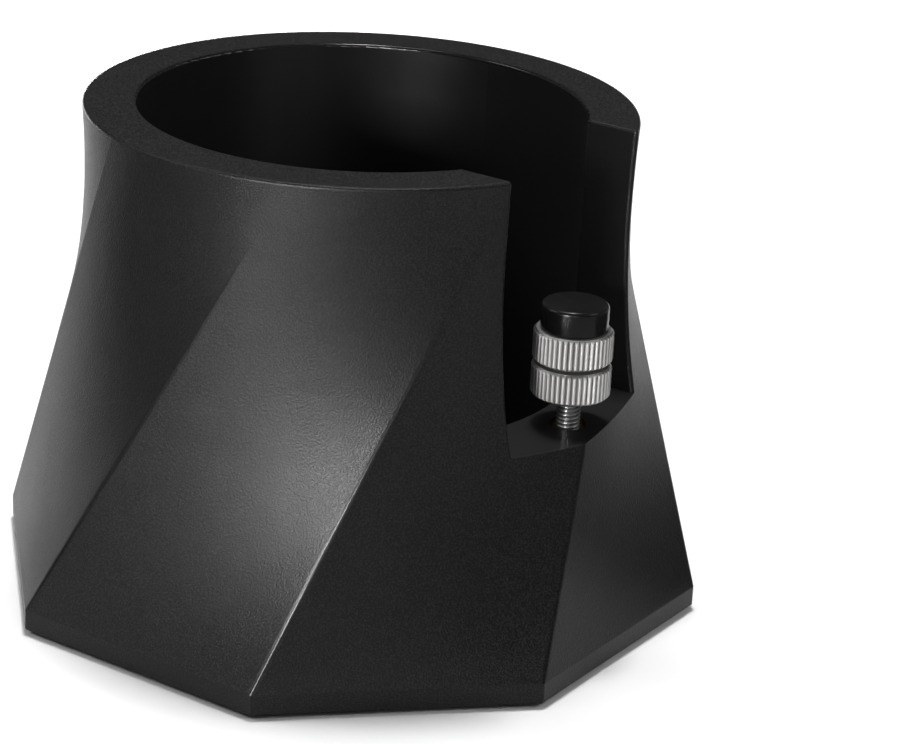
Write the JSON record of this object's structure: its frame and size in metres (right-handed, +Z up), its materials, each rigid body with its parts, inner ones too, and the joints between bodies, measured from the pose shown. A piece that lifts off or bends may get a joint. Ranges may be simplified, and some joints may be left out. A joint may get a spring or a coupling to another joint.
{
  "type": "espresso tamping station",
  "caption": "Weighted stand with an eight-sided twisted base, a round bore, a handle slot and a height-adjustable knurled support with a rubber cap.",
  "frame": {"origin": "on the table under the axis of the bore", "axes": "+Z up along the bore, the slot and the support post face -Y"},
  "size_m": [0.1108, 0.1108, 0.0816],
  "materials": {
    "housing_plastic": "black, fine spark-eroded grain",
    "cover_plastic": "black, plain moulded",
    "weight_steel": "blanked steel plate",
    "pad_rubber": "soft silicone sheet",
    "screw_steel": "zinc plated",
    "insert_brass": "turned brass",
    "rod_steel": "rolled thread, bright",
    "wheel_steel": "turned and straight knurled, bright nickel",
    "cap_rubber": "glossy black rubber"
  },
  "bodies": {
    "stand": {"housing": "housing_plastic", "base_cover": "cover_plastic", "counterweight": "weight_steel", "anti_slip_pad": "pad_rubber", "cover_screws": "screw_steel", "thread_insert": "insert_brass"},
    "cap": {"support_cap": "cap_rubber"},
    "spindle": {"threaded_rod": "rod_steel", "adjusting_wheel": "wheel_steel"},
    "lock": {"lock_wheel": "wheel_steel"}
  },
  "joints": [
    {"name": "cap_travel", "type": "slide", "parent": "stand", "child": "cap", "axis": [0, 0, 1], "range_m": [-0.0049, 0.0084]},
    {"name": "spindle_turn", "type": "hinge", "parent": "cap", "child": "spindle", "pos_m": [0, -0.0426, 0.0512], "axis": [0, 0, 1], "range_deg": [-2521, 4321]},
    {"name": "lock_wheel_turn", "type": "hinge", "parent": "spindle", "child": "lock", "pos_m": [0, -0.0426, 0.0452], "axis": [0, 0, 1], "range_deg": [-90, 280]}
  ],
  "couplings": [
    {"joint": "spindle_turn", "follows": "cap_travel", "rad_per_m": 8976}
  ]
}
